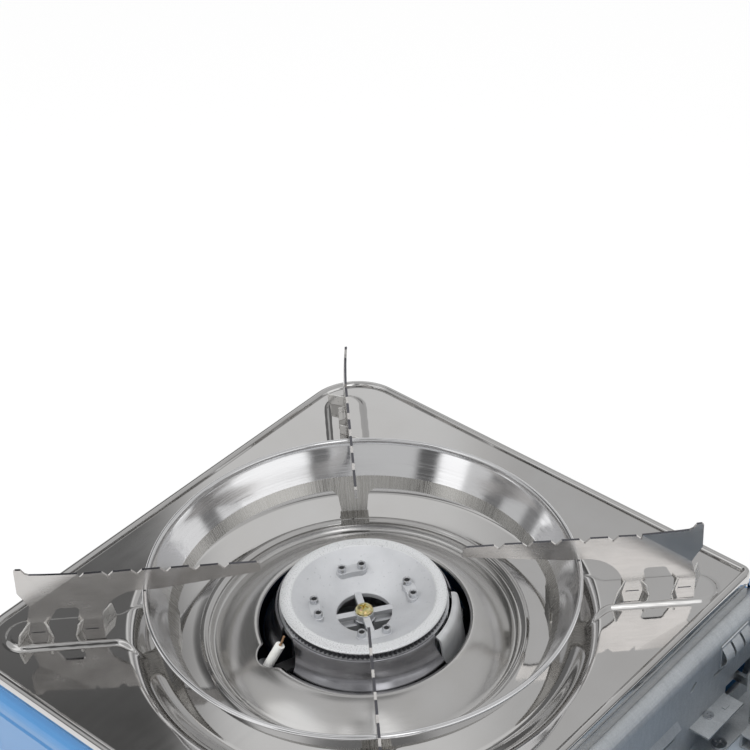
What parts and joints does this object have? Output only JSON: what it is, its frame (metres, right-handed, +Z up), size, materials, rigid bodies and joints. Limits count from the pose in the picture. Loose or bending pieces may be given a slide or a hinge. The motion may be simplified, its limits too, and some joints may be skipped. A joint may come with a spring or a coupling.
{
  "type": "butane cassette stove",
  "caption": "Portable gas stove with a round burner, cone windshield, notched pan arms and a lidded cartridge bay.",
  "frame": {"origin": "on the table under the middle of the box round the stove with its lid open", "axes": "+X from the burner to the cartridge side, +Y to the back, +Z up"},
  "size_m": [0.3702, 0.296, 0.1465],
  "materials": {
    "blue_paint": "glossy blue enamel",
    "mirror_steel": "mirror polished stainless",
    "arm_steel": "bright stamped steel",
    "cast_alloy": "fine matt die cast",
    "skirt_steel": "dark polished steel",
    "galvanised": "satin galvanised sheet",
    "plain_steel": "plain pressed steel",
    "zinc_screw": "zinc plated",
    "yellow_zinc": "yellow passivated zinc",
    "brass": "turned brass",
    "white_ceramic": "glazed ceramic",
    "copper_wire": "heat tinted wire",
    "lead_sleeve": "white silicone sleeve",
    "black_plastic": "moulded black plastic",
    "grey_plastic": "moulded plastic",
    "rubber": "black rubber"
  },
  "bodies": {
    "body": {"body_shell": "blue_paint", "foot_pads": "rubber", "foot_screws": "zinc_screw", "control_panel": "black_plastic", "knob_bezel": "plain_steel", "burner_body": "cast_alloy", "burner_skirt": "skirt_steel", "port_ring": "cast_alloy", "burner_cap": "cast_alloy", "cap_screw": "yellow_zinc", "mixing_tube": "plain_steel", "air_shutter": "plain_steel", "burner_bracket": "plain_steel", "burner_screws": "zinc_screw", "floor_screws": "zinc_screw", "electrode_ceramic": "white_ceramic", "electrode_wire": "copper_wire", "electrode_clamp": "plain_steel", "ignition_lead": "lead_sleeve", "piezo_igniter": "black_plastic", "heat_plate": "plain_steel", "partition_wall": "galvanised", "ledge_screw": "zinc_screw", "can_clip": "galvanised", "bulkhead": "galvanised", "regulator_body": "cast_alloy", "regulator_cover": "cast_alloy", "regulator_screws": "zinc_screw", "jet_nozzle": "brass", "cartridge_collar": "galvanised", "socket_seal": "rubber", "lever_bracket": "galvanised", "lever_pivot": "zinc_screw", "rod_guides": "galvanised", "pusher_rail": "galvanised", "hinge_brackets": "galvanised", "hinge_pins": "zinc_screw"},
    "top": {"top_plate": "mirror_steel", "drip_dish": "mirror_steel", "windshield_ring": "mirror_steel", "arm_front_left": "arm_steel", "arm_front_right": "arm_steel", "arm_back_right": "arm_steel", "arm_back_left": "arm_steel"},
    "knob": {"control_knob": "black_plastic", "valve_spindle": "zinc_screw"},
    "plunger": {"piezo_plunger": "grey_plastic"},
    "lever": {"lock_lever": "plain_steel", "lever_grip": "black_plastic"},
    "pusher": {"push_rod": "plain_steel", "can_pusher": "plain_steel"},
    "lid": {"lid": "blue_paint"}
  },
  "joints": [
    {"name": "top_plate_lift", "type": "slide", "parent": "body", "child": "top", "axis": [0, 0, 1], "range_m": [0, 0.06]},
    {"name": "knob_turn", "type": "hinge", "parent": "body", "child": "knob", "pos_m": [0.11438, -0.1305, 0.043], "axis": [0, -1, 0], "range_deg": [0, 130]},
    {"name": "piezo_press", "type": "slide", "parent": "body", "child": "plunger", "axis": [0, 0, -1], "range_m": [0, 0.0042]},
    {"name": "lever_turn", "type": "hinge", "parent": "body", "child": "lever", "pos_m": [0.08388, -0.1035, 0.018], "axis": [1, 0, 0], "range_deg": [0, 35]},
    {"name": "pusher_slide", "type": "slide", "parent": "body", "child": "pusher", "axis": [0, 1, 0], "range_m": [-0.0066, 0]},
    {"name": "lid_hinge", "type": "hinge", "parent": "body", "child": "lid", "pos_m": [0.15038, 0.01, 0.067], "axis": [0, 1, 0], "range_deg": [-105, 0]}
  ],
  "couplings": [
    {"joint": "piezo_press", "follows": "knob_turn", "m_per_rad": 0.0017629},
    {"joint": "lever_turn", "follows": "pusher_slide", "rad_per_m": -92.338}
  ]
}
